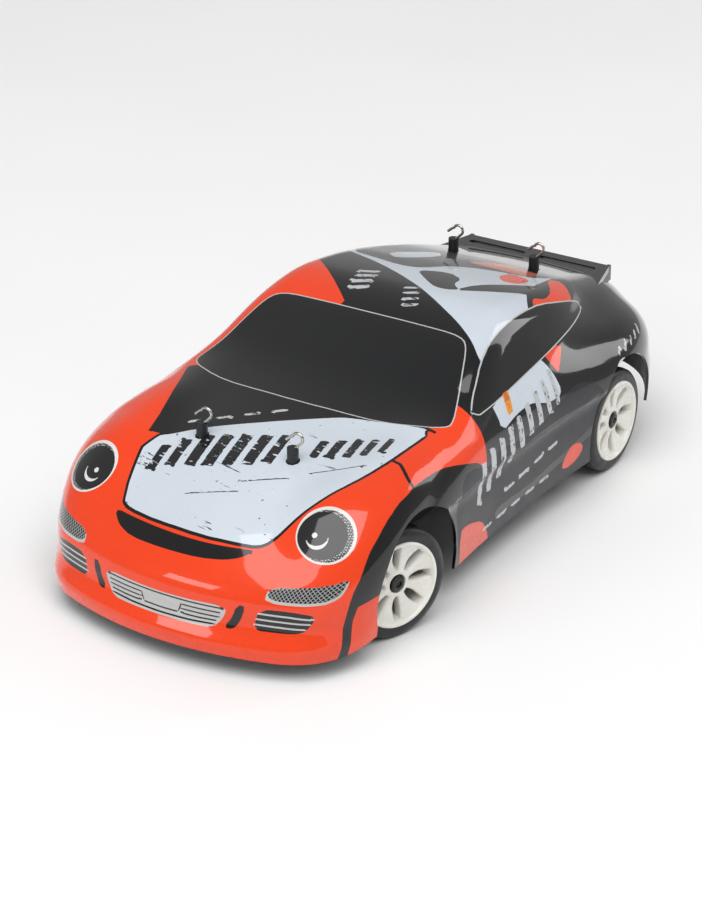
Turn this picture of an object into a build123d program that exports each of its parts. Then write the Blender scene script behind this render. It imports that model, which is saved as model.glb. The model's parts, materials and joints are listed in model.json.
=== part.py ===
from build123d import *
import os
from math import cos, exp, radians, sin, sqrt

os.makedirs("parts", exist_ok=True)

# ---- driving dimensions (mm): +X forward, +Y left, Z = 0 on the ground ----
tyre_radius = 16.0
axle_z = tyre_radius
front_axle_x = 57.5
rear_axle_x = -60.0
kingpin_y = 34.0
steer_rest = -20.0
steer_arm = 11.0
rim_radius = 12.4

arm_inner_y = 12.0
arm_outer_y = 29.0
arm_low_z = 9.0
arm_high_z = 23.0
pin_radius = 0.75
running_gap = 0.05
spring_y = 22.0
spring_offset = 8.0
tower_z = 28.0

floor_z = 6.0
floor_thickness = 2.0
shaft_z = 14.0
servo_x = 35.6
servo_y = 11.0
bar_z = 18.6
motor_y = 7.8
motor_z = 16.8

wall = 1.1
front_post = (63.4, 14.9)
rear_post = (-70.4, 14.2)
post_radius = 1.6
clip_height = 3.0
post_above_hole = 1.0
wire = 0.45

sides = {"l": 1, "r": -1}
ends = {"f": (front_axle_x, 1), "r": (rear_axle_x, -1)}
posts = [(x, s * y) for x, y in (front_post, rear_post) for s in (1, -1)]


# ---- form of the body shell ----
def curve(x, *knots):
    """Smooth height or width along a line, through its (station, value) knots."""
    k = sorted(knots)
    if x <= k[0][0]:
        return k[0][1]
    if x >= k[-1][0]:
        return k[-1][1]
    i = max(n for n in range(len(k) - 1) if k[n][0] <= x)

    def grade(n):
        if n == 0 or n == len(k) - 1:
            n = min(max(n, 1), len(k) - 1)
            return (k[n][1] - k[n - 1][1]) / (k[n][0] - k[n - 1][0])
        before = k[n][0] - k[n - 1][0]
        after = k[n + 1][0] - k[n][0]
        rise_before = (k[n][1] - k[n - 1][1]) / before
        rise_after = (k[n + 1][1] - k[n][1]) / after
        return (rise_before * after + rise_after * before) / (before + after)

    h = k[i + 1][0] - k[i][0]
    t = (x - k[i][0]) / h
    value = (1 + 2 * t) * (1 - t) ** 2 * k[i][1] + t * (1 - t) ** 2 * h * grade(i)
    return value + t * t * (3 - 2 * t) * k[i + 1][1] + t * t * (t - 1) * h * grade(i + 1)


def meet(a, b, radius):
    """Rounded corner between two surfaces of one solid."""
    near = max(radius - abs(a - b), 0) / radius
    return max(a, b) + near * near * radius / 4


def join(a, b, radius):
    """Rounded valley between two solids."""
    return -meet(-a, -b, radius)


def body(x, y, z):
    """Distance outside (+) or inside (-) the body's outer surface."""
    y = abs(y)
    nose_x = curve(z, (0, 106), (6, 106.8), (9.5, 107), (12, 105.6), (14, 104.6), (18, 104.2), (22, 103.4),
                   (26, 100.9), (30, 97.4), (36, 91.9), (60, 70))
    nose = (x - nose_x + 0.0053 * y * y) / sqrt(1 + (0.0106 * y) ** 2)
    tail_x = curve(z, (0, 105), (12, 106), (20, 107), (26, 107), (30, 106), (36, 105.5), (42, 103), (48, 98),
                   (60, 80))
    tail = (-x - tail_x + 0.0051 * y * y) / sqrt(1 + (0.0102 * y) ** 2)
    half_width = curve(x, (112, 44.2), (100, 47.7), (90, 49.2), (80, 50.5), (70, 51.6), (58, 52.2), (40, 51.3),
                       (20, 50), (0, 49.7), (-20, 50), (-40, 51.5), (-58, 53.5), (-75, 52), (-90, 49.8),
                       (-112, 46.1))
    tumblehome = (0.006 if z > 24 else 0.004) * (z - 24) ** 2
    side = y - half_width + tumblehome
    deck_z = curve(x, (115, 24), (97, 32.8), (90, 35.6), (80, 39.6), (70, 43), (60, 45.2), (50, 46.6),
                   (37, 47.6), (20, 47.6), (0, 47.4), (-40, 47.4), (-60, 48), (-80, 47), (-100, 43.5), (-115, 39))
    fender = curve(x, (115, 0), (90, 0), (78, 2.0), (60, 2.2), (35, 1.0), (20, 0), (-115, 0))
    deck = z - deck_z - fender * exp(-((y - 37) / 8.5) ** 2) + 0.0012 * y * y
    deck = deck * curve(x, (115, 0.93), (60, 0.99), (-60, 0.99), (-115, 0.95))
    edge = curve(x, (110, 7), (80, 6.5), (40, 8), (0, 14), (-60, 12), (-110, 9))
    lower = meet(meet(meet(nose, side, 13), tail, 22), deck, edge)

    bow = curve(z, (40, 0.0075), (46, 0.0075), (61, 0.003), (70, 0.003))
    windshield = (z - 46.3 + 0.447 * (x - 37.5 + bow * y * y)) / 1.095
    roof_z = curve(x, (60, 61), (20, 64), (0, 65.2), (-14, 65.4), (-30, 63.7), (-50, 59.6), (-70, 54.4),
                   (-85, 48.9), (-100, 42.5), (-112, 37))
    roof = z - roof_z + 0.0008 * y * y
    cabin_width = curve(x, (60, 45.8), (25, 46.6), (0, 47), (-25, 46), (-50, 42), (-70, 34.5), (-90, 26),
                        (-112, 18))
    flank = (y - cabin_width + 0.61 * (z - 46)) / 1.171
    cabin = max(meet(meet(meet(windshield, roof, 5), flank, 5), side, 4), 34 - z, -x - 101)

    lamp_pod = sqrt(((x - 69.5) / 1.12) ** 2 + (y - 34.3) ** 2 + (z - 26.5) ** 2) - 14.6
    return join(join(lower, cabin, 7), lamp_pod, 7)


def reach(start, direction, depth):
    """Point on the surface lying `depth` inside the outer one, seen from `start` along `direction`."""
    near = 5.0
    far = 150.0
    for step in range(26):
        middle = (near + far) / 2
        point = start + direction * middle
        if body(point.X, point.Y, point.Z) > -depth:
            far = middle
        else:
            near = middle
    return start + direction * near


def roof_height(x, y):
    """Height of the outer surface straight above (x, y)."""
    return round(reach(Vector(x, y, 10), Vector(0, 0, 1), 0).Z, 2)


# ---- body shell: sections fan about two cross pivots inside the wheel arches ----
fan_x = 62.0
fan_z = 5.0
fan_turn = 94.0
fan_steps = 8
middle_steps = 11
rays = 11
mouth = 8.0

front_fan = [(fan_x, fan_turn * (1 - n / fan_steps)) for n in range(fan_steps)]
straight = [(fan_x * (1 - 2 * n / (middle_steps - 1)), 0.0) for n in range(middle_steps)]
rear_fan = [(-fan_x, -fan_turn * n / fan_steps) for n in range(1, fan_steps + 1)]


def section_line(x, turn, depth):
    """Points across the body from its left edge to its right, in one plane of the fan."""
    ease = min(max((abs(x) - 34) / (fan_x - 34), 0), 1)
    first = mouth * ease * ease * (3 - 2 * ease)
    angles = [first + (90 - first) * n / (rays - 1) for n in range(rays)]
    line = []
    for angle in angles:
        up = sin(radians(angle))
        direction = Vector(up * sin(radians(turn)), cos(radians(angle)), up * cos(radians(turn)))
        line.append(reach(Vector(x, 0, fan_z), direction, depth))
    return line + [Vector(p.X, -p.Y, p.Z) for p in reversed(line[:-1])]


with BuildPart() as body_shell:
    for x, turn in front_fan + straight + rear_fan:
        outer = section_line(x, turn, 0)
        inner = section_line(x, turn, wall)
        plane = Plane(origin=(x, 0, fan_z), x_dir=(0, 1, 0), z_dir=(cos(radians(turn)), 0, -sin(radians(turn))))
        with BuildSketch(plane):
            with BuildLine():
                Spline([plane.to_local_coords(p) for p in outer])
                Line(plane.to_local_coords(outer[-1]), plane.to_local_coords(inner[-1]))
                Spline([plane.to_local_coords(p) for p in reversed(inner)])
                Line(plane.to_local_coords(inner[0]), plane.to_local_coords(outer[0]))
            make_face()
    loft()
    # lower edge: deep front lip, higher sills, higher still behind the rear wheels
    with Locations((100, 0, 0)):
        Box(60, 130, 12, mode=Mode.SUBTRACT)
    with Locations((0, 0, 0)):
        Box(150, 130, 20, mode=Mode.SUBTRACT)
    with Locations((-95, 0, 0)):
        Box(50, 130, 30, mode=Mode.SUBTRACT)
    # flat front of the lip, flat tail
    with Locations((117, 0, 10), (-117, 0, 10)):
        Box(20, 130, 80, mode=Mode.SUBTRACT)
    # wheel arches
    with Locations((front_axle_x, 0, 16.5)):
        Cylinder(20, 130, rotation=(90, 0, 0), mode=Mode.SUBTRACT)
    with Locations((front_axle_x - 0.5, 0, 8)):
        Box(39, 130, 16, mode=Mode.SUBTRACT)
    with Locations((rear_axle_x, 0, 17.5)):
        Cylinder(20, 130, rotation=(90, 0, 0), mode=Mode.SUBTRACT)
    with Locations((rear_axle_x + 0.5, 0, 8)):
        Box(37, 130, 18, mode=Mode.SUBTRACT)
    # holes for the body posts
    for x, y in posts:
        with Locations((x, y, 55)):
            Cylinder(post_radius + 0.4, 40, mode=Mode.SUBTRACT)
body_shell.part.label = "body_shell"
export_step(body_shell.part, "parts/body_shell.step")

# ---- rear wing: a low plate on two struts, with end plates ----
with BuildPart() as rear_wing:
    with BuildSketch(Plane.XY.offset(45.6)):
        Polygon((-83, 29.5), (-83, -29.5), (-100, -25), (-100, 25), align=None)
        fillet(vertices(), 1.5)
    extrude(amount=1.8)
    with BuildSketch(Plane.XY.offset(47.4)):
        for y in (12.5, -12.5):
            with Locations((-89.5, y), (-95, y)):
                SlotOverall(20, 2.2, rotation=90)
    extrude(amount=-0.7, mode=Mode.SUBTRACT)
    with Locations((-98, 24.6, 44.9), (-98, -24.6, 44.9)):
        Box(5.5, 1.2, 5)
    with Locations((-92, 12, 44.6), (-92, -12, 44.6)):
        Box(9, 2.4, 2.4)
rear_wing.part.label = "rear_wing"
export_step(rear_wing.part, "parts/rear_wing.step")

# ---- chassis tub ----
with BuildPart() as chassis_tub:
    with BuildSketch(Plane.XY.offset(floor_z)):
        with Locations((-1, 0)):
            Rectangle(88, 46)
        fillet(vertices(), 5)
        with Locations((0, 0)):
            Rectangle(140, 16.4)
        with Locations((80, 0)):
            Rectangle(20, 40)
    extrude(amount=floor_thickness)
    with Locations((-1, 22, 11), (-1, -22, 11)):
        Box(74, 1.6, 7)
    with Locations((89, 0, 9)):
        Box(2, 40, 6)
chassis_tub.part.label = "chassis_tub"
export_step(chassis_tub.part, "parts/chassis_tub.step")

# ---- gearbox cases, lids with spring towers, and the four pins of each ----
for end, (axle_x, facing) in ends.items():
    with BuildPart() as gearbox_case:
        with Locations((axle_x, 0, 12)):
            Box(16, 17, 8)
        with Locations((axle_x - facing * 10.5, 0, 13.1)):
            Box(5, 8, 10.2)
        with Locations((axle_x, 0, axle_z)):
            Cylinder(7.1, 8, rotation=(90, 0, 0), mode=Mode.SUBTRACT)
            Cylinder(2.5 + running_gap, 20, rotation=(90, 0, 0), mode=Mode.SUBTRACT)
        with Locations((axle_x - facing * 8.5, 0, shaft_z)):
            Cylinder(2.7, 6.4, rotation=(0, 90, 0), mode=Mode.SUBTRACT)
        with Locations((axle_x - facing * 12, 0, shaft_z)):
            Cylinder(1.5 + running_gap, 6, rotation=(0, 90, 0), mode=Mode.SUBTRACT)
        for s in sides.values():
            for x in (-7.9, 7.9):
                with Locations((axle_x + x, s * 11.15, arm_low_z)):
                    Box(2.2, 5.5, 3.6)
                with Locations((axle_x + x, s * arm_inner_y, arm_low_z)):
                    Cylinder(pin_radius, 4, rotation=(0, 90, 0), mode=Mode.SUBTRACT)

    name = {"f": "front_gearbox_case", "r": "rear_gearbox_case"}[end]
    gearbox_case.part.label = name
    export_step(gearbox_case.part, f"parts/{name}.step")

    bar_ends = (61.0, 68.6) if end == "f" else (-73.4, -63.5)
    with BuildPart() as gearbox_lid:
        with Locations((axle_x, 0, 21)):
            Box(16, 17, 10)
        with Locations((axle_x, 0, axle_z)):
            Cylinder(7.1, 8, rotation=(90, 0, 0), mode=Mode.SUBTRACT)
            Cylinder(2.5 + running_gap, 20, rotation=(90, 0, 0), mode=Mode.SUBTRACT)
        for s in sides.values():
            for x in (-7.9, 7.9):
                with Locations((axle_x + x, s * 11.15, arm_high_z)):
                    Box(2.2, 5.5, 3.6)
                with Locations((axle_x + x, s * arm_inner_y, arm_high_z)):
                    Cylinder(pin_radius, 4, rotation=(0, 90, 0), mode=Mode.SUBTRACT)
        with Locations((axle_x + facing * 5.5, 0, 27)):
            Box(5, 17, 2)
        with Locations(((bar_ends[0] + bar_ends[1]) / 2, 0, tower_z + 1.25)):
            Box(bar_ends[1] - bar_ends[0], 50, 2.5)
    name = {"f": "front_gearbox_lid", "r": "rear_gearbox_lid"}[end]
    gearbox_lid.part.label = name
    export_step(gearbox_lid.part, f"parts/{name}.step")

with BuildPart() as inner_hinge_pins:
    for axle_x, facing in ends.values():
        for s in sides.values():
            for z in (arm_low_z, arm_high_z):
                with Locations((axle_x, s * arm_inner_y, z)):
                    Cylinder(pin_radius, 18.6, rotation=(0, 90, 0))
inner_hinge_pins.part.label = "inner_hinge_pins"
export_step(inner_hinge_pins.part, "parts/inner_hinge_pins.step")

# ---- body posts, cross-drilled for the clips at 45 degrees ----
with BuildPart() as body_posts:
    for x, y in posts:
        top = roof_height(x, y)
        length = top + clip_height + post_above_hole - tower_z - 2.5
        with Locations((x, y, tower_z + 2.5)):
            Cylinder(post_radius, length, align=(Align.CENTER, Align.CENTER, Align.MIN))
        with Locations((x, y, top - wall - 1.8)):
            Cylinder(2.6, 1.0)
        with Locations((x, y, top + clip_height)):
            Cylinder(wire + 0.12, 12, rotation=(-45, 0, 0), mode=Mode.SUBTRACT)
body_posts.part.label = "body_posts"
export_step(body_posts.part, "parts/body_posts.step")

# ---- body clips: a straight leg through the post, an eye, and a leg over the post ----
clip_planes = []
for x, y in posts:
    hole = (x, y, roof_height(x, y) + clip_height)
    clip_planes.append(Plane(origin=hole, x_dir=(0, 1, 1), z_dir=(1, 0, 0)))
with BuildPart() as body_clips:
    for plane in clip_planes:
        with BuildLine(plane) as route:
            leg = Line((-1.9, 0), (3.9, 0))
            eye = CenterArc((3.9, 1.6), 1.6, -90, 200)
            over = Line(eye @ 1, (0.6, 3.5))
        with BuildSketch(Plane(origin=leg @ 0, z_dir=leg % 0)):
            Circle(wire)
        sweep(path=route.wires()[0], transition=Transition.TRANSFORMED)
body_clips.part.label = "body_clips"
export_step(body_clips.part, "parts/body_clips.step")

# ---- power train on the chassis ----
with BuildPart() as motor_can:
    with Locations((-32, motor_y, motor_z)):
        Cylinder(6.0, 20, rotation=(0, 90, 0))
        fillet(motor_can.edges(), 0.6)
    with Locations((-32, motor_y, 9.5)):
        Box(18, 6, 3)
motor_can.part.label = "motor_can"
export_step(motor_can.part, "parts/motor_can.step")

with BuildPart() as motor_pinion:
    with Locations((-19.6, motor_y, motor_z)):
        Cylinder(1.7, 3.2, rotation=(0, 90, 0))
    with BuildSketch(Plane(origin=(-21.2, motor_y, motor_z), z_dir=(1, 0, 0))):
        with PolarLocations(1.9, 10):
            Rectangle(1.2, 0.6)
    extrude(amount=3.2)
motor_pinion.part.label = "motor_pinion"
export_step(motor_pinion.part, "parts/motor_pinion.step")

with BuildPart() as spur_gear:
    with BuildSketch(Plane(origin=(-21.2, 0, shaft_z), z_dir=(1, 0, 0))):
        Circle(4.8)
        with PolarLocations(5.1, 24):
            Rectangle(0.8, 0.6)
        Circle(1.5, mode=Mode.SUBTRACT)
    extrude(amount=2.8)
spur_gear.part.label = "spur_gear"
export_step(spur_gear.part, "parts/spur_gear.step")

with BuildPart() as centre_shaft:
    with Locations(((front_axle_x + rear_axle_x) / 2, 0, shaft_z)):
        Cylinder(1.5, 95.0, rotation=(0, 90, 0))
    for axle_x, facing in ends.values():
        with BuildSketch(Plane(origin=(axle_x - facing * 11.4, 0, shaft_z), z_dir=(facing, 0, 0))):
            Circle(2.2)
        extrude(amount=4.2, taper=8)
centre_shaft.part.label = "centre_shaft"
export_step(centre_shaft.part, "parts/centre_shaft.step")

for end, (axle_x, facing) in ends.items():
    with BuildPart() as diff:
        with Locations((axle_x, 0, axle_z)):
            Cylinder(2.5, 18.2, rotation=(90, 0, 0))
        with Locations((axle_x, facing * 2.6, axle_z)):
            Cylinder(6.4, 2.2, rotation=(90, 0, 0))
        with Locations((axle_x, -facing, axle_z)):
            Cylinder(4.6, 5, rotation=(90, 0, 0))
        for s in sides.values():
            with Locations((axle_x, s * 11.4, axle_z)):
                Cylinder(3.3, 4.8, rotation=(90, 0, 0))
            with Locations((axle_x, s * 12.4, axle_z)):
                Cylinder(2.4, 5.0, rotation=(90, 0, 0), mode=Mode.SUBTRACT)
    name = {"f": "front_diff", "r": "rear_diff"}[end]
    diff.part.label = name
    export_step(diff.part, f"parts/{name}.step")

# ---- servo, horn and tie bar ----
with BuildPart() as servo_case:
    with Locations((35.0, servo_y, 14.2)):
        Box(16.0, 13, 12.4)
        fillet(servo_case.edges().filter_by(Axis.Z), 0.6)
    with Locations((servo_x, servo_y, 20.4)):
        Cylinder(2.6, 1.0, align=(Align.CENTER, Align.CENTER, Align.MIN))
servo_case.part.label = "servo_case"
export_step(servo_case.part, "parts/servo_case.step")

horn_turn = -steer_rest
# knuckle pins sit behind the kingpins by the steering arm, turned with the wheels
pin_shift = -steer_arm * sin(radians(steer_rest))
horn_pin = (servo_x + steer_arm * cos(radians(horn_turn)), servo_y + steer_arm * sin(radians(horn_turn)))
with BuildPart() as servo_horn:
    with Locations((servo_x, servo_y, 21.6)):
        Cylinder(2.8, 1.4, align=(Align.CENTER, Align.CENTER, Align.MIN))
    with Locations(Location(((servo_x + horn_pin[0]) / 2, (servo_y + horn_pin[1]) / 2, 22.3), (0, 0, horn_turn))):
        Box(steer_arm, 3.0, 1.4)
    with Locations((*horn_pin, 22.3)):
        Cylinder(1.3, 1.4)
    with Locations((*horn_pin, 20.2)):
        Cylinder(0.8, 4.4)
servo_horn.part.label = "servo_horn"
export_step(servo_horn.part, "parts/servo_horn.step")

with BuildPart() as steering_tie_bar:
    with BuildSketch(Plane.XY.offset(bar_z)):
        with Locations((46.4, pin_shift)):
            Rectangle(5.4, 2 * kingpin_y + 5)
            fillet(vertices(), 1.2)
        with Locations((46.9, kingpin_y + pin_shift), (46.9, -kingpin_y + pin_shift), (46.1, horn_pin[1])):
            SlotOverall(3.2, 1.9, mode=Mode.SUBTRACT)
    extrude(amount=1.6)
steering_tie_bar.part.label = "steering_tie_bar"
export_step(steering_tie_bar.part, "parts/steering_tie_bar.step")

# ---- electronics, battery and screws ----
with BuildPart() as battery_pack:
    with Locations((4.5, -11.5, 13.2)):
        Box(43, 17, 10)
        fillet(battery_pack.edges().filter_by(Axis.X), 2.5)
battery_pack.part.label = "battery_pack"
export_step(battery_pack.part, "parts/battery_pack.step")

with BuildPart() as receiver_board:
    with Locations((6, 12, 9)):
        Box(24, 15, 1.2)
    with Locations((0, 12, 11.4)):
        Box(7, 7, 3.6)
    with Locations((12, 12, 10.8)):
        Box(8, 10, 2.4)
    with Locations((-2, 6, 8.2), (14, 6, 8.2), (-2, 18, 8.2), (14, 18, 8.2)):
        Box(2, 2, 0.4)
receiver_board.part.label = "receiver_board"
export_step(receiver_board.part, "parts/receiver_board.step")

with BuildPart() as screws:
    for axle_x, facing in ends.values():
        for s in sides.values():
            with Locations((axle_x - facing * 5.5, s * 6.2, 26)):
                Cylinder(1.5, 1.1, align=(Align.CENTER, Align.CENTER, Align.MIN))
            with Locations((axle_x - facing * 5.5, s * 6.2, 27.1)):
                Box(1.8, 0.4, 0.8, mode=Mode.SUBTRACT)
                Box(0.4, 1.8, 0.8, mode=Mode.SUBTRACT)
screws.part.label = "screws"
export_step(screws.part, "parts/screws.step")

# ---- the four corners ----
for end, (axle_x, facing) in ends.items():
    for side, s in sides.items():
        corner = end + side
        spring_x = axle_x + facing * spring_offset

        with BuildPart() as lower_arm:
            with Locations((axle_x, s * arm_inner_y, arm_low_z)):
                Cylinder(1.6, 12.8, rotation=(0, 90, 0))
            with BuildSketch(Plane.XY.offset(arm_low_z - 1)):
                with BuildLine():
                    Polyline((axle_x - 6.4, s * 12.4), (axle_x + 6.4, s * 12.4), (axle_x + 5.4, s * 27.4),
                             (axle_x - 5.4, s * 27.4), close=True)
                make_face()
                with Locations((spring_x, s * spring_y)):
                    Circle(2.7)
                with Locations((axle_x, s * 20)):
                    Rectangle(5.0, 8.0, mode=Mode.SUBTRACT)
            extrude(amount=2)
            for x in (-4.4, 4.4):
                with Locations((axle_x + x, s * 27.6, arm_low_z)):
                    Box(2.0, 2.8, 3.2)
                with Locations((axle_x + x, s * arm_outer_y, arm_low_z)):
                    Cylinder(1.6, 2.0, rotation=(0, 90, 0))
            for y in (arm_inner_y, arm_outer_y):
                with Locations((axle_x, s * y, arm_low_z)):
                    Cylinder(pin_radius + running_gap, 14, rotation=(0, 90, 0), mode=Mode.SUBTRACT)
        lower_arm.part.label = "lower_arm_" + corner
        export_step(lower_arm.part, f"parts/lower_arm_{corner}.step")

        with BuildPart() as upper_arm:
            with Locations((axle_x, s * arm_inner_y, arm_high_z)):
                Cylinder(1.6, 12.8, rotation=(0, 90, 0))
            for x in (-4.4, 4.4):
                with Locations((axle_x + x, s * arm_outer_y, arm_high_z)):
                    Cylinder(1.6, 2.0, rotation=(0, 90, 0))
                with Locations((axle_x + x, s * (arm_inner_y + arm_outer_y) / 2, arm_high_z)):
                    Box(2.0 if x * facing < 0 else 1.6, arm_outer_y - arm_inner_y, 1.8)
            with Locations((axle_x, s * 24.6, arm_high_z)):
                Box(8, 2.0, 1.8)
            for y in (arm_inner_y, arm_outer_y):
                with Locations((axle_x, s * y, arm_high_z)):
                    Cylinder(pin_radius + running_gap, 14, rotation=(0, 90, 0), mode=Mode.SUBTRACT)
        upper_arm.part.label = "upper_arm_" + corner
        export_step(upper_arm.part, f"parts/upper_arm_{corner}.step")

        with BuildPart() as hub:
            with Locations((axle_x, s * 28.9, axle_z)):
                Box(6.0, 2.8, 17.6)
                Box(4.0, 4.0, 7.6, mode=Mode.SUBTRACT)
            for z in (arm_low_z, arm_high_z):
                with Locations((axle_x, s * arm_outer_y, z)):
                    Cylinder(pin_radius, 8, rotation=(0, 90, 0), mode=Mode.SUBTRACT)
            if end == "f":
                for z in (23.75, 8.25):
                    with Locations((axle_x, s * 32.1, z)):
                        Box(4.4, 3.8, 2.1)
                    with Locations((axle_x, s * kingpin_y, z)):
                        Cylinder(2.3, 2.1)
                        Cylinder(0.9, 4, mode=Mode.SUBTRACT)
            else:
                for z in (23.75, 8.25):
                    with Locations((axle_x, s * 34.6, z)):
                        Box(4.4, 8.8, 2.1)
                with Locations((axle_x, s * 39.0, axle_z)):
                    Box(4.4, 3.6, 17.6)
                    Cylinder(4.4, 3.6, rotation=(90, 0, 0))
                    Cylinder(1.5 + running_gap, 5, rotation=(90, 0, 0), mode=Mode.SUBTRACT)
        hub.part.label = "hub_" + corner
        export_step(hub.part, f"parts/hub_{corner}.step")

        with BuildPart() as hub_pins:
            for z in (arm_low_z, arm_high_z):
                with Locations((axle_x, s * arm_outer_y, z)):
                    Cylinder(pin_radius, 11.0, rotation=(0, 90, 0))
            if end == "f":
                for z in (22.9, 9.1):
                    with Locations((axle_x, s * kingpin_y, z)):
                        Cylinder(0.9, 4.6)
        hub_pins.part.label = "hub_pins_" + corner
        export_step(hub_pins.part, f"parts/hub_pins_{corner}.step")

        with BuildPart() as dogbone:
            with Locations((axle_x, s * (arm_inner_y + kingpin_y) / 2, axle_z)):
                Cylinder(0.8, kingpin_y - arm_inner_y, rotation=(90, 0, 0))
            for y in (arm_inner_y, kingpin_y):
                with Locations((axle_x, s * y, axle_z)):
                    Sphere(1.3)
                    Cylinder(0.4, 3.2)
        dogbone.part.label = "dogbone_" + corner
        export_step(dogbone.part, f"parts/dogbone_{corner}.step")

        with BuildPart() as spring:
            with BuildLine():
                coil = Helix(2.2, 17.0, 1.9, center=(spring_x, s * spring_y, 10.5))
            with BuildSketch(Plane(origin=coil @ 0, z_dir=coil % 0)):
                Circle(0.35)
            sweep(path=coil, is_frenet=True)
        spring.part.label = "spring_" + corner
        export_step(spring.part, f"parts/spring_{corner}.step")

        turn = steer_rest if end == "f" else 0.0
        # wheel parts are laid out from the kingpin line, y outward
        seat = Location((axle_x, s * kingpin_y, axle_z), (0, 0, turn))

        if end == "f":
            with BuildPart() as knuckle:
                with Locations(seat):
                    with Locations((0, 0, 5.0), (0, 0, -5.0)):
                        Cylinder(2.1, 2.4)
                    with Locations((0, s * 2.6, 5.0), (0, s * 2.6, -5.0)):
                        Box(4.0, 5.2, 2.4)
                    with Locations((0, s * 5.1, 0)):
                        Box(4.4, 3.6, 12.4)
                        Cylinder(4.4, 3.6, rotation=(90, 0, 0))
                    with Locations((-6.1, s * 4.3, -0.5)):
                        Box(9.4, 2.0, 2.0)
                    with Locations((-steer_arm, s * 2.3, -0.5)):
                        Box(2.4, 5.6, 2.0)
                    with Locations((-steer_arm, 0, -0.5)):
                        Cylinder(1.2, 2.0)
                    with Locations((-steer_arm, 0, 3.0)):
                        Cylinder(0.8, 6.6)
                    with Locations((0, 0, 0)):
                        Cylinder(0.9 + running_gap, 14, mode=Mode.SUBTRACT)
                    with Locations((0, s * 5, 0)):
                        Cylinder(1.5 + running_gap, 6, rotation=(90, 0, 0), mode=Mode.SUBTRACT)
            knuckle.part.label = "knuckle_" + corner
            export_step(knuckle.part, f"parts/knuckle_{corner}.step")

        with BuildPart() as axle:
            with Locations(seat):
                with Locations((0, s * 8.0, 0)):
                    Cylinder(1.5, 12.0, rotation=(90, 0, 0))
                with Locations((0, s * 0.5, 0)):
                    Cylinder(3.2, 4.2, rotation=(90, 0, 0))
                with Locations((0, s * 0.0, 0)):
                    Cylinder(2.4, 4.2, rotation=(90, 0, 0), mode=Mode.SUBTRACT)
                with Locations((0, s * 8.2, 0)):
                    Cylinder(3.0, 1.8, rotation=(90, 0, 0))
                with Locations((0, s * 13.9, 0)):
                    Cylinder(2.5, 1.6, rotation=(90, 0, 0))
        axle.part.label = "axle_" + corner
        export_step(axle.part, f"parts/axle_{corner}.step")

        with BuildPart() as rim:
            with Locations(seat):
                with Locations((0, s * 10.8, 0)):
                    Cylinder(11.9, 10.4, rotation=(90, 0, 0))
                    Cylinder(11.0, 11, rotation=(90, 0, 0), mode=Mode.SUBTRACT)
                with Locations((0, s * 15.55, 0)):
                    Cylinder(rim_radius, 0.9, rotation=(90, 0, 0))
                    Cylinder(11.0, 2, rotation=(90, 0, 0), mode=Mode.SUBTRACT)
                with Locations((0, s * 11.1, 0)):
                    Cylinder(4.0, 4.0, rotation=(90, 0, 0))
                with Locations((0, s * 12.1, 0)):
                    for n in range(8):
                        with Locations(Location((0, 0, 0), (0, n * 45, 0))):
                            with Locations((0, 0, 7.4)):
                                Box(3.0, 1.8, 8.4)
                with Locations((0, s * 11.1, 0)):
                    Cylinder(1.5, 8, rotation=(90, 0, 0), mode=Mode.SUBTRACT)
        rim.part.label = "rim_" + corner
        export_step(rim.part, f"parts/rim_{corner}.step")

        with BuildPart() as tyre:
            with Locations(seat):
                with Locations((0, s * 10.6, 0)):
                    Cylinder(tyre_radius, 10.0, rotation=(90, 0, 0))
            fillet(tyre.edges().filter_by(GeomType.CIRCLE), 1.6)
            with Locations(seat):
                with Locations((0, s * 10.6, 0)):
                    Cylinder(11.9, 12, rotation=(90, 0, 0), mode=Mode.SUBTRACT)
                with Locations((0, s * 15.6, 0)):
                    Cylinder(rim_radius, 1.0, rotation=(90, 0, 0), mode=Mode.SUBTRACT)
        tyre.part.label = "tyre_" + corner
        export_step(tyre.part, f"parts/tyre_{corner}.step")
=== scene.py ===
import json
from math import cos, pi, radians, sin

import bmesh
import bpy
import numpy as np
from mathutils import Matrix, Vector


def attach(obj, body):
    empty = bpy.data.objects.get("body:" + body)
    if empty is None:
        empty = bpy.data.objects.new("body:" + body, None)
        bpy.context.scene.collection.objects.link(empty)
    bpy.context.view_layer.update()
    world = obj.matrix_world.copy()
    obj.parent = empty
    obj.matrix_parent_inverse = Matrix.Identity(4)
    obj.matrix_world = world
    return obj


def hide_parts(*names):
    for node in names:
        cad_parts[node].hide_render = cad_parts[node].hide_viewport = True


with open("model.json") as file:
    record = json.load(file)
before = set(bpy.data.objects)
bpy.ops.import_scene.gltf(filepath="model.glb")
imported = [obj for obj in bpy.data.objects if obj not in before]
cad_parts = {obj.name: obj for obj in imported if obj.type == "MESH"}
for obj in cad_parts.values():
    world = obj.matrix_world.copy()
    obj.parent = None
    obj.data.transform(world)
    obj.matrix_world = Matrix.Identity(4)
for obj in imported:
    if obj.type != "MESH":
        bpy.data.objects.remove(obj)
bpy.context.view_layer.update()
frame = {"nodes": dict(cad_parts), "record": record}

MM = 0.001
FRONT_AXLE, REAR_AXLE, AXLE_Z = 57.5, -60.0, 16.0
KINGPIN_Y = 34
STEERED = radians(-20)
SPOKES = 8
POSTS = ((63.4, 14.9), (63.4, -14.9), (-70.4, 14.2), (-70.4, -14.2))
POST_HOLE = 2.0
CLIP_HEIGHT = 3.0
WALL = 0.9

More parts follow.
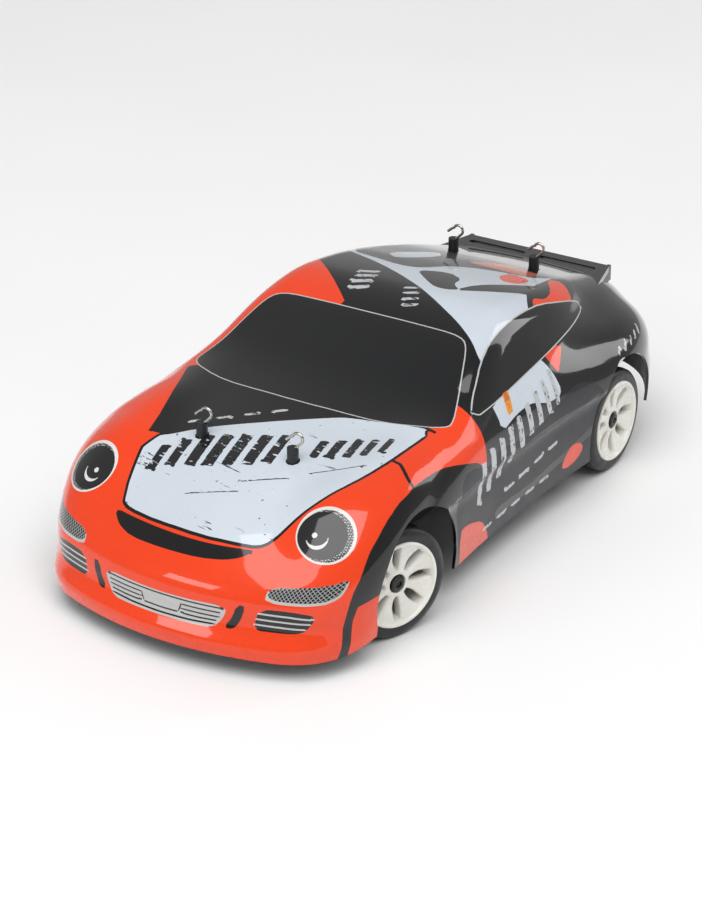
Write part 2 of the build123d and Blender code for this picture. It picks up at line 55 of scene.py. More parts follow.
# ------------------------------------------------------------------ camera
camera_data = bpy.data.cameras.new("camera")
camera_data.sensor_width = 36.0
camera_data.lens = 107.9
camera_data.shift_x = 0.0104
camera_data.shift_y = -0.0653
camera_data.clip_start = 0.01
camera = bpy.data.objects.new("camera", camera_data)
bpy.context.collection.objects.link(camera)
az, el = radians(32.66), radians(24.62)
aim = Vector((-cos(el) * cos(az), -cos(el) * sin(az), -sin(el)))
camera.location = (0.6033, 0.3765, 0.3625)
camera.rotation_euler = aim.to_track_quat("-Z", "Y").to_euler()
bpy.context.scene.camera = camera


# ------------------------------------------------------------------ materials
def shader(name, color, rough=0.4, metal=0.0, coat=0.0, spec=0.5):
    """A new material and its Principled node, with the constant values on the shader's own sockets."""
    m = bpy.data.materials.new(name)
    m.use_nodes = True
    p = m.node_tree.nodes["Principled BSDF"]
    p.inputs["Base Color"].default_value = (*color, 1)
    p.inputs["Roughness"].default_value = rough
    p.inputs["Metallic"].default_value = metal
    p.inputs["Coat Weight"].default_value = coat
    p.inputs["Coat Roughness"].default_value = 0.04
    p.inputs["Specular IOR Level"].default_value = spec
    return m, p


class Nodes:
    """Short way to add and join nodes in one material."""

    def __init__(self, material):
        self.tree = material.node_tree
        self.where = self.add("ShaderNodeTexCoord").outputs["Object"]

    def add(self, kind, **values):
        node = self.tree.nodes.new(kind)
        for key, value in values.items():
            setattr(node, key, value)
        return node

    def link(self, a, b):
        self.tree.links.new(a, b)

    def mapped(self, scale=(1, 1, 1), turn=(0, 0, 0), place=(0, 0, 0)):
        m = self.add("ShaderNodeMapping")
        m.inputs["Scale"].default_value = scale
        m.inputs["Rotation"].default_value = turn
        m.inputs["Location"].default_value = place
        self.link(self.where, m.inputs["Vector"])
        return m.outputs["Vector"]

    def noise(self, scale, detail=3, vector=None, rough=0.5):
        n = self.add("ShaderNodeTexNoise")
        n.inputs["Scale"].default_value = scale
        n.inputs["Detail"].default_value = detail
        n.inputs["Roughness"].default_value = rough
        self.link(vector or self.where, n.inputs["Vector"])
        return n.outputs["Fac"]

    def ramp(self, value, low, high, a=(0, 0, 0), b=(1, 1, 1)):
        r = self.add("ShaderNodeValToRGB")
        r.color_ramp.elements[0].position = low
        r.color_ramp.elements[1].position = high
        r.color_ramp.elements[0].color = (*a, 1)
        r.color_ramp.elements[1].color = (*b, 1)
        self.link(value, r.inputs["Fac"])
        return r.outputs["Color"]

    def math(self, op, a, b=None):
        m = self.add("ShaderNodeMath", operation=op)
        for i, v in enumerate((a, b)):
            if v is None:
                continue
            if isinstance(v, (int, float)):
                m.inputs[i].default_value = v
            else:
                self.link(v, m.inputs[i])
        return m.outputs[0]

    def mix(self, fac, a, b, kind="MIX"):
        m = self.add("ShaderNodeMix", data_type="RGBA", blend_type=kind)
        for socket, v in ((m.inputs["Factor"], fac), (m.inputs[6], a), (m.inputs[7], b)):
            if isinstance(v, (int, float)):
                socket.default_value = v
            elif isinstance(v, tuple):
                socket.default_value = (*v, 1)
            else:
                self.link(v, socket)
        return m.outputs[2]

    def bump(self, p, height, strength, distance):
        b = self.add("ShaderNodeBump")
        b.inputs["Strength"].default_value = strength
        b.inputs["Distance"].default_value = distance
        self.link(height, b.inputs["Height"])
        self.link(b.outputs["Normal"], p.inputs["Normal"])


def tint(color, k):
    return tuple(min(c * k, 1) for c in color)


def lacquer(name, color, rough=0.22, marks=None, coat=1.0):
    """Printed film under clear lacquer: faint ink mottling, dust specks and a hint of ripple."""
    m, p = shader(name, color, rough, coat=coat, spec=0.12)
    n = Nodes(m)
    base = n.ramp(n.noise(28, 2), 0.3, 0.7, tint(color, 0.95), tint(color, 1.03))
    speck = n.ramp(n.noise(2600, 1), 0.70, 0.76)
    base = n.mix(n.math("MULTIPLY", speck, 0.12), base, tint(color, 0.4))
    if marks:
        base = marks(n, base)
    n.link(base, p.inputs["Base Color"])
    n.link(n.ramp(n.noise(150, 3), 0.3, 0.75, (rough * 0.8,) * 3, (rough * 1.35,) * 3), p.inputs["Roughness"])
    n.bump(p, n.noise(60, 1), 0.05, 0.0003)
    return m


def plastic(name, color, rough=0.45, grain=900, depth=0.12, coat=0.0):
    """Moulded plastic with a fine eroded grain and rubbed patches."""
    m, p = shader(name, color, rough, coat=coat)
    n = Nodes(m)
    patch = n.noise(140, 5)
    n.link(n.ramp(patch, 0.25, 0.8, tint(color, 0.8), tint(color, 1.25)), p.inputs["Base Color"])
    n.link(n.ramp(n.noise(320, 4), 0.3, 0.7, (rough * 0.8,) * 3, (min(rough * 1.3, 1),) * 3), p.inputs["Roughness"])
    n.bump(p, n.noise(grain * 3, 2), depth, 0.0002)
    return m


def metal(name, color, rough=0.28, stretch=(1, 1, 1), depth=0.1):
    """Turned or drawn metal: streaks along one direction and slight tarnish."""
    m, p = shader(name, color, rough, metal=1.0)
    n = Nodes(m)
    streak = n.noise(1500, 3, n.mapped(stretch))
    n.link(n.ramp(n.noise(180, 4), 0.3, 0.75, tint(color, 0.72), tint(color, 1.1)), p.inputs["Base Color"])
    n.link(n.ramp(streak, 0.3, 0.7, (rough * 0.7,) * 3, (rough * 1.5,) * 3), p.inputs["Roughness"])
    n.bump(p, streak, depth, 0.0001)
    return m


def scratched(ink):
    """Black distress on a pale print: long fine scratches across the hood and small flecks."""
    def marks(n, base):
        turned = n.mapped((1, 1, 1), (0, 0, radians(8)))
        squash = n.add("ShaderNodeVectorMath", operation="MULTIPLY")
        squash.inputs[1].default_value = (700, 38, 700)
        n.link(turned, squash.inputs[0])
        line = n.ramp(n.noise(1, 3, squash.outputs[0], 0.6), 0.64, 0.66)
        gate = n.ramp(n.noise(45, 3), 0.50, 0.56)
        fleck = n.ramp(n.noise(750, 2), 0.71, 0.73)
        fleck_gate = n.ramp(n.noise(60, 2, n.mapped((1, 1, 1), (0, 0, 0), (0.5, 0, 0))), 0.46, 0.58)
        dark = n.math("MAXIMUM", n.math("MULTIPLY", line, gate), n.math("MULTIPLY", fleck, fleck_gate))
        return n.mix(dark, base, ink)
    return marks


def worn(wear, amount=0.60):
    """Ink worn off a dark bar so the ground shows through in ragged streaks."""
    def marks(n, base):
        squash = n.mapped((900, 260, 500))
        gap = n.ramp(n.noise(1, 5, squash, 0.62), amount, amount + 0.03)
        return n.mix(gap, base, wear)
    return marks


def halftone(dot):
    """Small printed dots."""
    def marks(n, base):
        v = n.add("ShaderNodeTexVoronoi")
        v.inputs["Scale"].default_value = 1900
        v.inputs["Randomness"].default_value = 0.15
        n.link(n.where, v.inputs["Vector"])
        return n.mix(n.ramp(v.outputs["Distance"], 0.34, 0.42, (1, 1, 1), (0, 0, 0)), base, dot)
    return marks


def wire_mesh(line):
    """Printed crossed-wire mesh."""
    def marks(n, base):
        lines = None
        for turn in (radians(45), radians(-45)):
            w = n.add("ShaderNodeTexWave", wave_type="BANDS", bands_direction="Y")
            w.inputs["Scale"].default_value = 430
            n.link(n.mapped((1, 1, 1), (turn, 0, 0)), w.inputs["Vector"])
            band = n.ramp(w.outputs["Fac"], 0.80, 0.92)
            lines = band if lines is None else n.math("MAXIMUM", lines, band)
        return n.mix(lines, base, line)
    return marks


RED = (0.84, 0.050, 0.004)
BLACK = (0.004, 0.0042, 0.0052)
CHARCOAL = (0.022, 0.023, 0.028)
PALE = (0.60, 0.655, 0.72)
livery = {
    "red": lacquer("livery_red", RED, 0.26),
    "black": lacquer("livery_black", BLACK, 0.12),
    "charcoal": lacquer("livery_charcoal", CHARCOAL, 0.34, halftone((0.016, 0.017, 0.020)), coat=0.5),
    "pale": lacquer("livery_pale", PALE, 0.28),
    "panel": lacquer("livery_panel", PALE, 0.28, scratched((0.012, 0.013, 0.015))),
    "glass": lacquer("livery_window", (0.007, 0.0075, 0.0085), 0.07),
    "silver": lacquer("livery_silver", (0.50, 0.51, 0.50), 0.3),
    "bar_black": lacquer("livery_bar_black", (0.010, 0.010, 0.012), 0.25, worn(PALE, 0.60)),
    "bar_pale": lacquer("livery_bar_pale", (0.50, 0.52, 0.54), 0.3, worn((0.05, 0.05, 0.055), 0.56)),
    "grey": lacquer("livery_grey", (0.055, 0.056, 0.058), 0.3, worn((0.18, 0.18, 0.18), 0.68)),
    "amber": lacquer("livery_amber", (0.80, 0.30, 0.02), 0.3, worn((0.55, 0.14, 0.01), 0.5)),
    "lamp": lacquer("livery_lamp", (0.014, 0.014, 0.015), 0.16),
    "dots": lacquer("livery_dots", (0.05, 0.05, 0.05), 0.2, halftone((0.55, 0.55, 0.55))),
    # ring: the pale ring of the lamp print, and also the painted highlight (white dot and arc) on the lamp
    "ring": lacquer("livery_ring_and_painted_highlight", (0.72, 0.71, 0.68), 0.3),
    "mesh": lacquer("livery_mesh", (0.008, 0.008, 0.008), 0.25, wire_mesh((0.33, 0.33, 0.33))),
    "peach": lacquer("livery_fade", (0.62, 0.16, 0.075), 0.24),
    "inside": plastic("shell_inside", (0.10, 0.10, 0.11), 0.5, 700, 0.08),
}


# ------------------------------------------------------------------ form of the body
def curve(x, *knots):
    k = np.array(sorted(knots), float)
    kx, ky = k[:, 0], k[:, 1]
    grade = np.gradient(ky, kx)
    x = np.clip(x, kx[0], kx[-1])
    i = np.clip(np.searchsorted(kx, x) - 1, 0, len(kx) - 2)
    h = kx[i + 1] - kx[i]
    t = (x - kx[i]) / h
    return ((1 + 2 * t) * (1 - t) ** 2 * ky[i] + t * (1 - t) ** 2 * h * grade[i]
            + t * t * (3 - 2 * t) * ky[i + 1] + t * t * (t - 1) * h * grade[i + 1])


def meet(a, b, radius):
    near = np.maximum(radius - np.abs(a - b), 0) / radius
    return np.maximum(a, b) + near * near * radius / 4


def join(a, b, radius):
    return -meet(-a, -b, radius)


def body(x, y, z):
    """Distance outside (+) or inside (-) the outer surface, in mm: the same form as the CAD shell."""
    y = np.abs(y)
    nose_x = curve(z, (0, 106), (6, 106.8), (9.5, 107), (12, 105.6), (14, 104.6), (18, 104.2), (22, 103.4),
                   (26, 100.9), (30, 97.4), (36, 91.9), (60, 70))
    nose = (x - nose_x + 0.0053 * y * y) / np.sqrt(1 + (0.0106 * y) ** 2)
    tail_x = curve(z, (0, 105), (12, 106), (20, 107), (26, 107), (30, 106), (36, 105.5), (42, 103), (48, 98),
                   (60, 80))
    tail = (-x - tail_x + 0.0051 * y * y) / np.sqrt(1 + (0.0102 * y) ** 2)
    half_width = curve(x, (112, 44.2), (100, 47.7), (90, 49.2), (80, 50.5), (70, 51.6), (58, 52.2), (40, 51.3),
                       (20, 50), (0, 49.7), (-20, 50), (-40, 51.5), (-58, 53.5), (-75, 52), (-90, 49.8),
                       (-112, 46.1))
    side = y - half_width + np.where(z > 24, 0.006, 0.004) * (z - 24) ** 2
    deck_z = curve(x, (115, 24), (97, 32.8), (90, 35.6), (80, 39.6), (70, 43), (60, 45.2), (50, 46.6),
                   (37, 47.6), (20, 47.6), (0, 47.4), (-40, 47.4), (-60, 48), (-80, 47), (-100, 43.5), (-115, 39))
    fender = curve(x, (115, 0), (90, 0), (78, 2.0), (60, 2.2), (35, 1.0), (20, 0), (-115, 0))
    deck = z - deck_z - fender * np.exp(-((y - 37) / 8.5) ** 2) + 0.0012 * y * y
    deck = deck * curve(x, (115, 0.93), (60, 0.99), (-60, 0.99), (-115, 0.95))
    edge = curve(x, (110, 7), (80, 6.5), (40, 8), (0, 14), (-60, 12), (-110, 9))
    lower = meet(meet(meet(nose, side, 13), tail, 22), deck, edge)
    bow = curve(z, (40, 0.0075), (46, 0.0075), (61, 0.003), (70, 0.003))
    windshield = (z - 46.3 + 0.447 * (x - 37.5 + bow * y * y)) / 1.095
    roof_z = curve(x, (60, 61), (20, 64), (0, 65.2), (-14, 65.4), (-30, 63.7), (-50, 59.6), (-70, 54.4),
                   (-85, 48.9), (-100, 42.5), (-112, 37))
    roof = z - roof_z + 0.0008 * y * y
    cabin_width = curve(x, (60, 45.8), (25, 46.6), (0, 47), (-25, 46), (-50, 42), (-70, 34.5), (-90, 26),
                        (-112, 18))
    flank = (y - cabin_width + 0.61 * (z - 46)) / 1.171
    cabin = np.maximum(np.maximum(meet(meet(meet(windshield, roof, 5), flank, 5), side, 4), 34 - z), -x - 101)
    lamp_pod = np.sqrt(((x - 69.5) / 1.12) ** 2 + (y - 34.3) ** 2 + (z - 26.5) ** 2) - 14.6
    return join(join(lower, cabin, 7), lamp_pod, 7)


def slope(p):
    """Outward unit normal of the form at points p (n, 3) in mm."""
    e = 0.25
    g = np.stack([body(*(p + d).T) - body(*(p - d).T) for d in np.eye(3) * e], -1)
    return g / np.linalg.norm(g, axis=1, keepdims=True)


def roof_height(x, y):
    z = np.linspace(30, 70, 4001)
    return float(z[np.argmax(body(np.full_like(z, x), np.full_like(z, y), z) > 0)])


# ------------------------------------------------------------------ outlines of the print
def outline(points, u, v):
    """Distance inside (+) or outside (-) a closed outline in the plane (u, v)."""
    pts = np.array(points, float)
    nxt = np.roll(pts, -1, axis=0)
    inside = np.zeros(u.shape, bool)
    best = np.full(u.shape, 1e9)
    for (ax, ay), (bx, by) in zip(pts, nxt):
        dx, dy = bx - ax, by - ay
        t = np.clip(((u - ax) * dx + (v - ay) * dy) / (dx * dx + dy * dy + 1e-12), 0, 1)
        best = np.minimum(best, np.hypot(u - ax - t * dx, v - ay - t * dy))
        crosses = (ay > v) != (by > v)
        with np.errstate(divide="ignore", invalid="ignore"):
            at = ax + (v - ay) * dx / (dy if dy else 1e-12)
        inside ^= crosses & (u < at)
    return np.where(inside, best, -best)


def smooth(points, times):
    """Rounds an outline's corners by cutting them."""
    for _ in range(times):
        out = []
        for a, b in zip(points, points[1:] + points[:1]):
            out += [(a[0] * 0.78 + b[0] * 0.22, a[1] * 0.78 + b[1] * 0.22),
                    (a[0] * 0.22 + b[0] * 0.78, a[1] * 0.22 + b[1] * 0.78)]
        points = out
    return points


def top(points, grow=0.0, low=30):
    pts = smooth(points, 1)
    return lambda x, y, z: np.minimum(outline(pts, x, y) + grow, z - low)


def front(points, grow=0.0, sides=(1, -1)):
    pts = smooth(points, 1)
    def f(x, y, z):
        best = np.full(x.shape, -1e9)
        for s in sides:
            best = np.maximum(best, outline(pts, y * s, z))
        return np.minimum(best + grow, x - 70)
    return f


def side(points, grow=0.0, rounds=1):
    pts = smooth(points, rounds) if rounds else points
    return lambda x, y, z: np.minimum(outline(pts, x, z) + grow, np.abs(y) - 20)


def stroke(points, width, plane="side"):
    """A band of that width along an open line."""
    pts = np.array(points, float)

    def nearest(x, y, z):
        u, v = {"side": (x, z), "top": (x, y), "front": (np.abs(y), z)}[plane]
        best, turn = np.full(x.shape, 1e9), np.zeros(x.shape)
        for (ax, ay), (bx, by) in zip(pts[:-1], pts[1:]):
            dx, dy = bx - ax, by - ay
            t = np.clip(((u - ax) * dx + (v - ay) * dy) / (dx * dx + dy * dy), 0, 1)
            gap = np.hypot(u - ax - t * dx, v - ay - t * dy)
            turn = np.where(gap < best, np.sign((u - ax) * dy - (v - ay) * dx), turn)
            best = np.minimum(best, gap)
        return best, turn, {"side": np.abs(y) - 20, "top": z - 30, "front": x - 75}[plane]

    def f(x, y, z):
        best, turn, limit = nearest(x, y, z)
        return np.minimum(width / 2 - best, limit)

    def spine(x, y, z):
        best, turn, limit = nearest(x, y, z)
        return np.where((best < 2.5) & (limit > 0), best * turn, 99)

    f.spine = spine
    return f


def bars(rows, plane="side", ragged=0.0):
    """Slanted bars, each given by its foot, its head and its width."""
    def parts(x, y, z):
        u, v = (x, z) if plane == "side" else (x, y)
        for (ax, ay), (bx, by), w in rows:
            dx, dy = bx - ax, by - ay
            length = np.hypot(dx, dy)
            along = ((u - ax) * dx + (v - ay) * dy) / length
            across = ((u - ax) * dy - (v - ay) * dx) / length
            wave = ragged * (np.sin(along * 2.7 + ax) + np.sin(along * 6.1 + ay * 3))
            yield np.minimum(along, length - along), across + wave * 0.3, w / 2 + wave * 0.2

    def limit(y, z):
        return np.abs(y) - 20 if plane == "side" else z - 30

    def f(x, y, z):
        best = np.full(x.shape, -1e9)
        for end, across, half in parts(x, y, z):
            best = np.maximum(best, np.minimum(end, half - np.abs(across)))
        return np.minimum(best, limit(y, z))

    def spine(x, y, z):
        best = np.full(x.shape, 99.0)
        for end, across, half in parts(x, y, z):
            best = np.where((end > -0.6) & (np.abs(across) < half + 1.5), across, best)
        return np.where(limit(y, z) > 0, best, 99)

    f.spine = spine
    return f


def ball(cx, cy, cz, r):
    return lambda x, y, z: r - np.sqrt((x - cx) ** 2 + (np.abs(y) - cy) ** 2 + (z - cz) ** 2)


windshield_line = [(26.2, 42.4), (14.0, 37.6), (4.2, 33.6), (1.6, 31.2), (0.9, 27.0), (1.3, 17.0), (1.7, 0),
                   (1.3, -17.0), (0.9, -27.0), (1.6, -31.2), (4.2, -33.6), (14.0, -37.6), (26.2, -42.4),
                   (28.6, -41.4), (31.6, -38.2), (35.1, -30.8), (37.3, -20), (38.6, 0), (37.3, 20),
                   (35.1, 30.8), (31.6, 38.2), (28.6, 41.4)]
window_line = [(20.0, 47.0), (5.0, 47.7), (-20.5, 49.6), (-35.2, 50.2), (-49.2, 50.3), (-57.4, 50.2), (-59.6, 50.8),
               (-58.2, 52.4), (-49.2, 55.6), (-35.0, 59.7), (-24.0, 61.2), (-15.6, 61.6), (-8.3, 61.0),
               (-1.8, 59.6), (4.8, 56.8), (12.1, 52.0)]
panel_line = [(89.4, -22.6), (70.2, -27.9), (60.9, -17.4), (51.9, -3.5), (41.6, 12.7), (39.3, 16.5),
              (34.8, 32), (32.4, 39.6), (48.7, 39.2), (56.5, 38.4), (67.7, 35.9), (75.9, 31.9), (80.8, 28.8),
              (88.6, 24.8), (90.9, 22), (92.0, 16.5), (93.3, 5.7), (92.9, -9), (91.3, -19.1)]
hood_row = [((70.5, -21.6), (80.0, -20.6), 2.6), ((66.5, -17.4), (77.0, -16.2), 3.0),
            ((62.5, -12.6), (75.5, -10.8), 3.4),
            ((60.5, -7.8), (74.0, -6.0), 3.4), ((58.6, -2.8), (72.0, -0.9), 3.4), ((56.4, 2.2), (70.0, 4.2), 3.4),
            ((54.0, 7.0), (67.0, 8.8), 3.0), ((51.5, 17.6), (60.0, 18.8), 2.4), ((49.0, 21.6), (58.2, 22.8), 2.6),
            ((46.6, 25.8), (56.2, 27.0), 2.6), ((44.6, 29.8), (54.2, 31.0), 2.4), ((42.6, 33.6), (51.0, 34.6), 2.0)]
hood_streaks = [((84.5, -6.0), (79.0, 8.0), 0.35), ((76.0, 6.0), (70.0, 18.0), 0.4),
                ((66.0, 22.0), (58.0, 35.5), 0.4)]
hood_dashes = [((59.6 - 4.6 * i, -22.6 + 6.4 * i), (57.1 - 4.6 * i, -19.1 + 6.4 * i), 1.1) for i in range(4)]
roof_dashes = [((-6.4 - 3.6 * i, -12.0 - 1.2 * i), (-9.4 - 3.6 * i, -6.4 - 1.2 * i), 1.9) for i in range(4)]
roof_dashes += [((-4.2 - 2.9 * i, 7.4 - 1.6 * i), (-6.6 - 2.9 * i, 11.6 - 1.6 * i), 1.3) for i in range(4)]
door_row = [((24.0, 23.8), (22.8, 36.4), 2.6), ((18.4, 25.6), (17.0, 38.4), 2.8), ((12.6, 27.4), (11.2, 39.0), 2.8),
            ((7.0, 29.6), (5.8, 40.2), 2.6), ((1.2, 32.2), (0.4, 41.2), 2.8), ((-4.8, 34.2), (-5.6, 42.6), 2.6),
            ((-10.4, 35.2), (-11.4, 43.8), 2.4), ((-15.8, 36.2), (-16.8, 45.2),
                                                  2.2), ((-20.8, 37.0), (-21.8, 46.6), 2.0)]
door_dashes = [((8.4 - 8.2 * i, 21.4 + 0.9 * i), (3.0 - 8.2 * i, 22.0 + 0.9 * i), 1.1) for i in range(4)]
sill_dashes = [((20.6 - 8.2 * i, 14.2 + 0.24 * i), (15.2 - 8.2 * i, 14.4 + 0.24 * i), 1.1) for i in range(5)]
rear_dashes = [((-57.0 - 4.2 * i, 39.0 + 0.1 * i), (-59.6 - 4.2 * i, 40.8 + 0.1 * i), 0.9) for i in range(5)]

layers = [
    # side: charcoal door on black, bands and patches
    ("charcoal", side([(24, 37.5), (11, 36.4), (0, 34.6), (-9, 34.6), (-24, 38.0), (-33, 39.2), (-43, 36), (-50, 20),
                       (-46, 5), (40, 5), (36, 30)])),
    ("black", stroke([(24, 11.5), (10.8, 16.6), (-7, 16.0), (-27, 18.5), (-46, 22.5)], 2.4)),
    ("pale", side([(10.6, 48.2), (-20.5, 50.2), (-23.4, 45.8), (-24.2, 38.8), (-16.0, 39.0), (-8.0, 42.0),
                   (0.9, 41.8),
                   (9.9, 40.2)])),
    ("red", side([(-22.8, 51.2), (-36.0, 51.2), (-33.4, 48.4), (-26.0, 44.2)], 0, 0)),
    ("black", side([(19.6, 48.0), (10.2, 48.2), (9.9, 41.6), (13.4, 36.6), (22.7, 34.2), (26.4, 37.4)], 0.3)),
    # nose, front fenders and the patch in front of the door
    ("red", lambda x, y, z: np.minimum(x - 19.6 + 0.02 * (z - 46),
                                       60.0 - np.abs(y)) - 0.10 * np.maximum(44 - z, 0) ** 1.35),
    ("red", top([(1.8, -7.0), (-8.6, -18.3), (-21.4, -32.2), (-24, -34.6), (-24, -52), (30, -52), (30, -30)], 0.0,
                47)),
    ("black", side([(80.4, 30.4), (77.9, 33.4), (70.9, 38.0), (63.6, 40.6), (59.0, 41.4), (55.4, 42.2), (47.2, 42.3),
                    (38.3, 41.5), (30.1, 39.2), (25.1, 37.4), (19, 30), (30, 4), (90.4, 3), (89.3, 8.5), (87.7, 16.8),
                    (85.9, 22.7), (82.5, 27.3)])),
    ("red", side([(84.2, 19.4), (74.6, 21.0), (73, 12), (75.0, 5), (87.2, 5), (85.5, 16.1)], 0, 0)),
    ("charcoal", side([(35.6, 37.4), (26.4, 37.0), (16, 30), (12, 8), (33, 5), (36, 15), (38.5, 28)])),
    ("red", side([(33.6, 4), (35.6, 20.8), (30.3, 20.7), (21.6, 17.8), (17.4, 12.6), (15, 4)])),
    ("red", side([(-24.4, 14.6), (-27, 18.6), (-30.0, 20.4), (-34.4, 19.6), (-36.4, 17.0), (-33, 14.2),
                  (-28, 13.4)], 0, 2)),
    ("black", stroke([(52.6, 36.8), (52.2, 41.8), (55.2, 46.1), (56.0, 48.6)], 1.1, "top")),
    # hood: black cowl, outlined pale panel
    ("black", top([(71.4, -28.6), (57.8, -32.0), (42.4, -37.5), (29.0, -43.4), (30, 44), (40, 30), (50, -3)], 0, 40)),
    ("black", top(panel_line, 0.8, 28)),
    ("panel", top(panel_line, 0.0, 28)),
    ("bar_black", bars(hood_row, "top", 0.12)),
    ("bar_black", bars(hood_streaks, "top", 0.12)),
    ("bar_pale", bars(hood_dashes, "top", 0.0)),
    # roof: black band, pale field, dark swooshes and patches
    ("pale", top([(-34.9, -28.8), (-28.6, -15.3), (-19.4, 0.7), (-9.1, 17.1), (-3.3, 27.2), (1.1, 33.7), (4.6, 38.2),
                  (5.0, 41.5), (-20, 42), (-27.4, 35.6), (-38.8, 28.8), (-70, 24), (-70, -26), (-44, -42), (-38, -34)], 0.0, 49)),
    ("grey", top([(-36.5, -30), (-33.4, -18.7), (-31.1, -9.8), (-32.8, -3.4), (-43.8, 0.8), (-50, 8), (-56, 25),
                  (-72, 24),
                  (-72, -22), (-50, -34)], 0.0, 49)),
    ("pale", top([(-44.0, -22.0), (-60.2, -13.3), (-53.9, -8.6), (-38.0, -15.4)])),
    ("pale", top([(-44.0, 7.0), (-49.0, 8.4), (-47.0, 15.0), (-42.0, 14.0)])),
    ("black", top([(-30.2, -3.1), (-35.3, 4.9), (-31.4, 11.4), (-24.9, 12.3), (-21.8, 16.4), (-19.4, 14.2),
                   (-18.7, 9.5),
                   (-24.3, 2.7)])),
    ("black", top([(-19.7, 15.2), (-30.0, 17.4), (-40.5, 24.4), (-48.1, 29.8), (-46.9, 33.4), (-39.9, 34.9),
                   (-35.2, 32.8), (-32.8, 29.8), (-26.8, 23.3)])),
    ("peach", top([(-54.9, -1.5), (-63.4, 6.0), (-67.2, 17.4), (-60, 21.4), (-55.0, 21.1), (-54.1, 10.7)])),
    ("red", top([(-46.2, 15.2), (-53.6, 16.2), (-50.9, 23.9), (-42.8, 24.8), (-40.4, 20.1)])),
    ("black", lambda x, y, z: np.minimum(-x - 66.5 + 0.22 * np.abs(y), z - 20)),
    ("black", top([(-37.2, 28.8), (-28.0, 46), (-80, 50), (-80, 24), (-60, 27.4), (-48, 30.0)], 0.0, 49)),
    ("red", top([(-57.4, 25.5), (-61.4, 28.6), (-55, 36), (-46.7, 39.6), (-28.0, 39.0), (-33.6, 33.2), (-39.3, 35.0),
                 (-46.8, 32.9)], 0.0, 54)),
    ("bar_pale", bars(roof_dashes, "top", 0.0)),
    # windows with their fine silver outline
    ("silver", top(windshield_line, 0.36, 45)),
    ("glass", top(windshield_line, 0.0, 45)),
    ("silver", side(window_line, 0.30)),
    ("glass", side(window_line, 0.0)),
    # door bars and rows of dashes
    ("bar_pale", bars(door_row, "side", 0.08)),
    ("bar_pale", bars(door_dashes, "side", 0.0)),
    ("bar_pale", bars(sill_dashes, "side", 0.0)),
    ("bar_pale", bars(rear_dashes, "side", 0.0)),
    ("amber", side([(4.6, 42.8), (1.6, 43.0), (0.0, 48.2), (3.2, 48.2)], 0, 0)),
    ("pale", side([(-52.7, 36.2), (-57.3, 38.2), (-62.8, 36.6), (-69.0, 32.4), (-72.6, 26.4), (-72.4, 15),
                   (-69.4, 15),
                   (-66.5, 26.6), (-59.0, 33.1)])),
    # nose details
    ("black", front([(-23.8, 31.8), (-10.5, 31.6), (6.4, 31.4), (17.8, 31.7), (22.4, 31.9), (19.1, 30.1),
                     (15.5, 29.2),
                     (8.6, 28.5), (-4.0, 28.3), (-14.6, 28.3), (-20.2, 29.4)], 0, (1,))),
    ("ring", ball(82.7, 38.0, 36.9, 8.1)),
    ("dots", ball(82.9, 38.0, 36.7, 7.3)),
    ("lamp", ball(83.3, 37.2, 36.8, 6.7)),
    # painted highlight on the lamp: a small white dot and an arc in the ring colour
    ("ring", ball(84.3, 35.5, 36.8, 0.75)),
    ("ring", lambda x, y, z: np.minimum(ball(84.4, 36.4, 36.0, 3.0)(x, y, z), -ball(83.7, 35.9, 37.0, 3.3)(x, y, z))),
    ("silver", front([(29.0, 21.8), (29.7, 25.4), (39.5, 26.1), (44.5, 26.6), (46.9, 27.6), (46.8, 25.3),
                      (45.9, 23.0),
                      (42.9, 21.7)])),
    ("mesh", front([(29.6, 22.5), (30.0, 25.4), (39.5, 26.1), (44.5, 26.6), (46.7, 27.5), (46.4, 25.5), (45.6, 23.6),
                    (42.8, 22.4)])),
    ("black", front([(26.8, 13.9), (28.4, 20.0), (36.3, 20.2), (42.1, 19.1), (41.0, 16.4), (39.2, 14.1),
                     (34.1, 13.9)])),
    ("silver", stroke([(28.0, 18.7), (36.0, 18.6), (41.2, 18.0)], 0.5, "front")),
    ("silver", stroke([(27.6, 17.1), (35.6, 17.0), (40.8, 16.7)], 0.5, "front")),
    ("silver", stroke([(27.2, 15.5), (35.0, 15.4), (39.8, 15.2)], 0.5, "front")),
    ("black", front([(22.3, 20.1), (24.7, 20.3), (23.8, 16.6), (22.0, 13.2), (18.9, 13.4), (21.2, 16.2)])),
    ("silver", front([(-19.6, 19.2), (-3.6, 18.9), (3.6, 18.9), (19.8, 19.2), (18.9, 16.0), (16.4, 12.8), (9.9, 12.6),
                      (-9.9, 12.6), (-16.4, 12.8), (-18.9, 16.0)], 0, (1,))),
    ("black", stroke([(0, 18.3), (9.6, 18.3), (18.6, 18.4)], 0.42, "front")),
    ("black", stroke([(6.4, 17.0), (12.0, 17.0), (18.1, 17.1)], 0.42, "front")),
    ("black", stroke([(6.4, 15.7), (12.0, 15.7), (17.6, 15.8)], 0.42, "front")),
    ("black", stroke([(6.4, 17.0), (5.6, 14.6), (0, 14.5)], 0.4, "front")),
    ("black", stroke([(0, 13.3), (9.6, 13.4), (16.4, 13.7)], 0.42, "front")),
    ("black", stroke([(6.9, 14.5), (12.0, 14.5), (17.0, 14.7)], 0.42, "front")),
]


# ------------------------------------------------------------------ body shell
def new_object(name, mesh, body_name, materials):
    obj = bpy.data.objects.new(name, mesh)
    bpy.context.collection.objects.link(obj)
    for m in materials:
        mesh.materials.append(m)
    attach(obj, body_name)
    return obj


